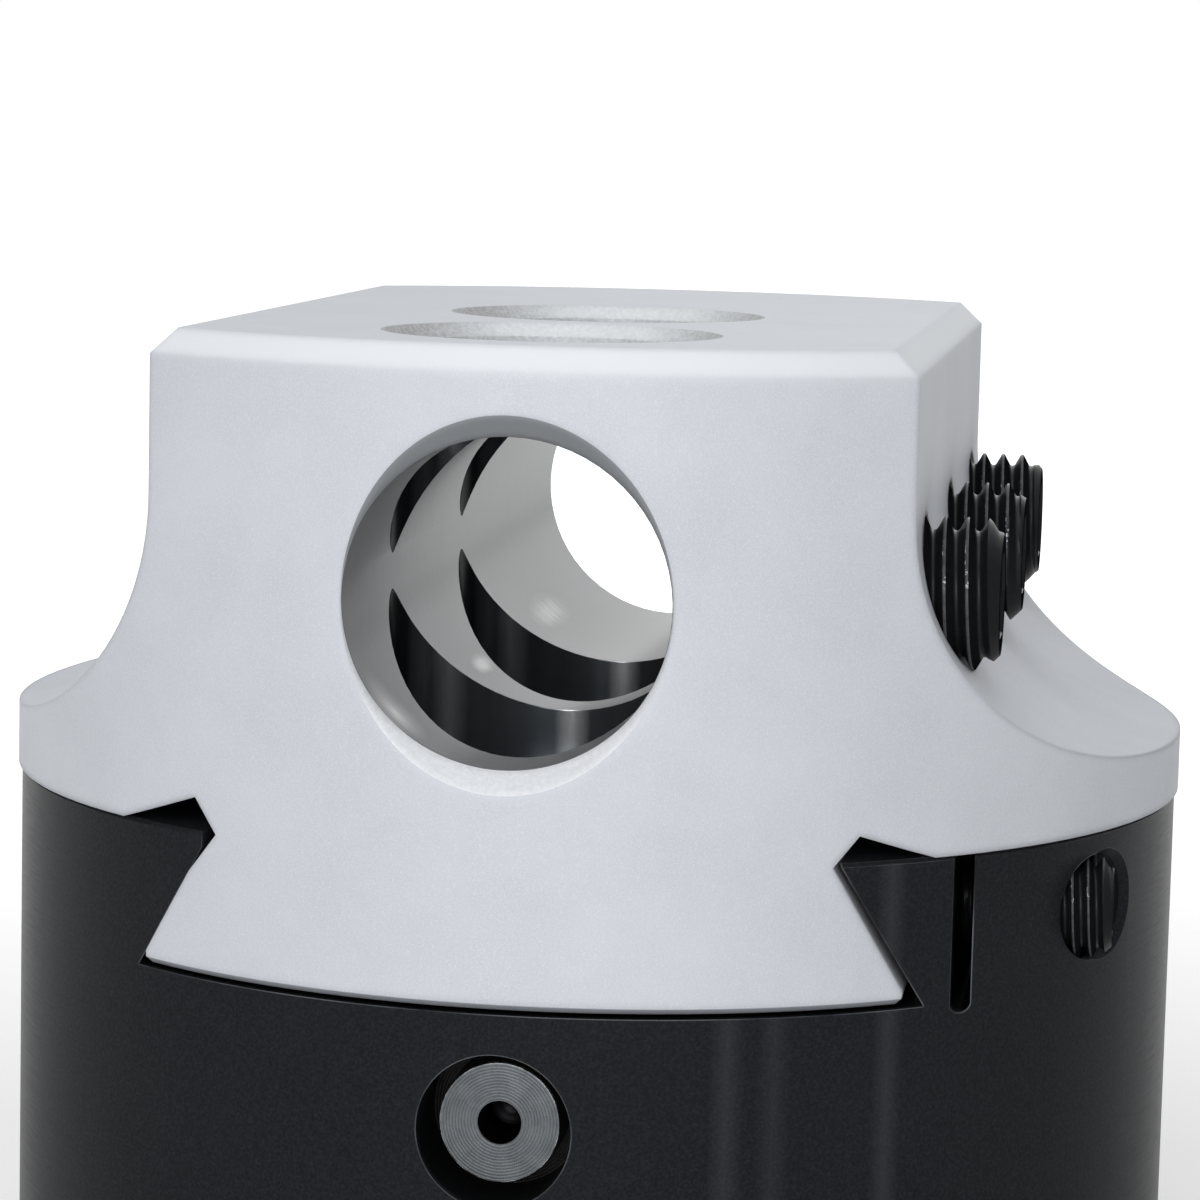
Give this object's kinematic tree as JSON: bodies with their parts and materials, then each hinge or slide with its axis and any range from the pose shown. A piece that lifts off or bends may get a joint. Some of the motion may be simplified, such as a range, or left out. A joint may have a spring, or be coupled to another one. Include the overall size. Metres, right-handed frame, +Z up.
{
  "type": "boring head",
  "caption": "Round dovetail boring head with an offset tool slide, bar bores from the top, a cross bore, set screws and a lead-screw adjustment.",
  "frame": {"origin": "centre of the body's foot", "axes": "+Z up the spindle axis towards the bars, +X out of the bar screws, -Y the face with the lead screw's tail"},
  "size_m": [0.1006, 0.1006, 0.093],
  "materials": {
    "body": "black oxide, satin",
    "tool_slide": "bead blasted, satin, with a ground top",
    "lead_screw": "turned",
    "feed_nut": "turned bronze",
    "feed_nut_screw": "black oxide",
    "tail_bush": "turned bronze",
    "rear_bush": "turned bronze",
    "thrust_washer": "turned bronze",
    "bearing_nut": "black oxide",
    "dial": "satin chrome with black graduations",
    "dial_key_screw": "black oxide",
    "dial_o_ring": "matte",
    "front_bar_screw": "black oxide",
    "middle_bar_screw": "black oxide",
    "rear_bar_screw": "black oxide",
    "front_gib_screw": "black oxide",
    "rear_gib_screw": "black oxide"
  },
  "bodies": {
    "head_body": {"body": "body", "tail_bush": "tail_bush", "rear_bush": "rear_bush", "thrust_washer": "thrust_washer", "bearing_nut": "bearing_nut"},
    "slide": {"tool_slide": "tool_slide", "feed_nut": "feed_nut", "feed_nut_screw": "feed_nut_screw"},
    "feed_screw": {"lead_screw": "lead_screw", "dial": "dial", "dial_key_screw": "dial_key_screw", "dial_o_ring": "dial_o_ring"},
    "front_bar_screw": {"front_bar_screw": "front_bar_screw"},
    "middle_bar_screw": {"middle_bar_screw": "middle_bar_screw"},
    "rear_bar_screw": {"rear_bar_screw": "rear_bar_screw"},
    "front_gib_screw": {"front_gib_screw": "front_gib_screw"},
    "rear_gib_screw": {"rear_gib_screw": "rear_gib_screw"}
  },
  "joints": [
    {"name": "lead_screw_turn", "type": "hinge", "parent": "head_body", "child": "feed_screw", "pos_m": [0, 0, 0.0332], "axis": [0, -1, 0], "range_deg": [0, 9000]},
    {"name": "slide_travel", "type": "slide", "parent": "head_body", "child": "slide", "axis": [0, -1, 0], "range_m": [0, 0.025]},
    {"name": "front_bar_screw_travel", "type": "slide", "parent": "slide", "child": "front_bar_screw", "axis": [1, 0, 0], "range_m": [-0.005, 0.003]},
    {"name": "middle_bar_screw_travel", "type": "slide", "parent": "slide", "child": "middle_bar_screw", "axis": [1, 0, 0], "range_m": [-0.005, 0.003]},
    {"name": "rear_bar_screw_travel", "type": "slide", "parent": "slide", "child": "rear_bar_screw", "axis": [1, 0, 0], "range_m": [-0.005, 0.003]},
    {"name": "front_gib_screw_travel", "type": "slide", "parent": "head_body", "child": "front_gib_screw", "axis": [1, 0, 0], "range_m": [0, 0.003]},
    {"name": "rear_gib_screw_travel", "type": "slide", "parent": "head_body", "child": "rear_gib_screw", "axis": [1, 0, 0], "range_m": [0, 0.003]}
  ],
  "couplings": [
    {"joint": "lead_screw_turn", "follows": "slide_travel", "rad_per_m": 6283.2}
  ]
}
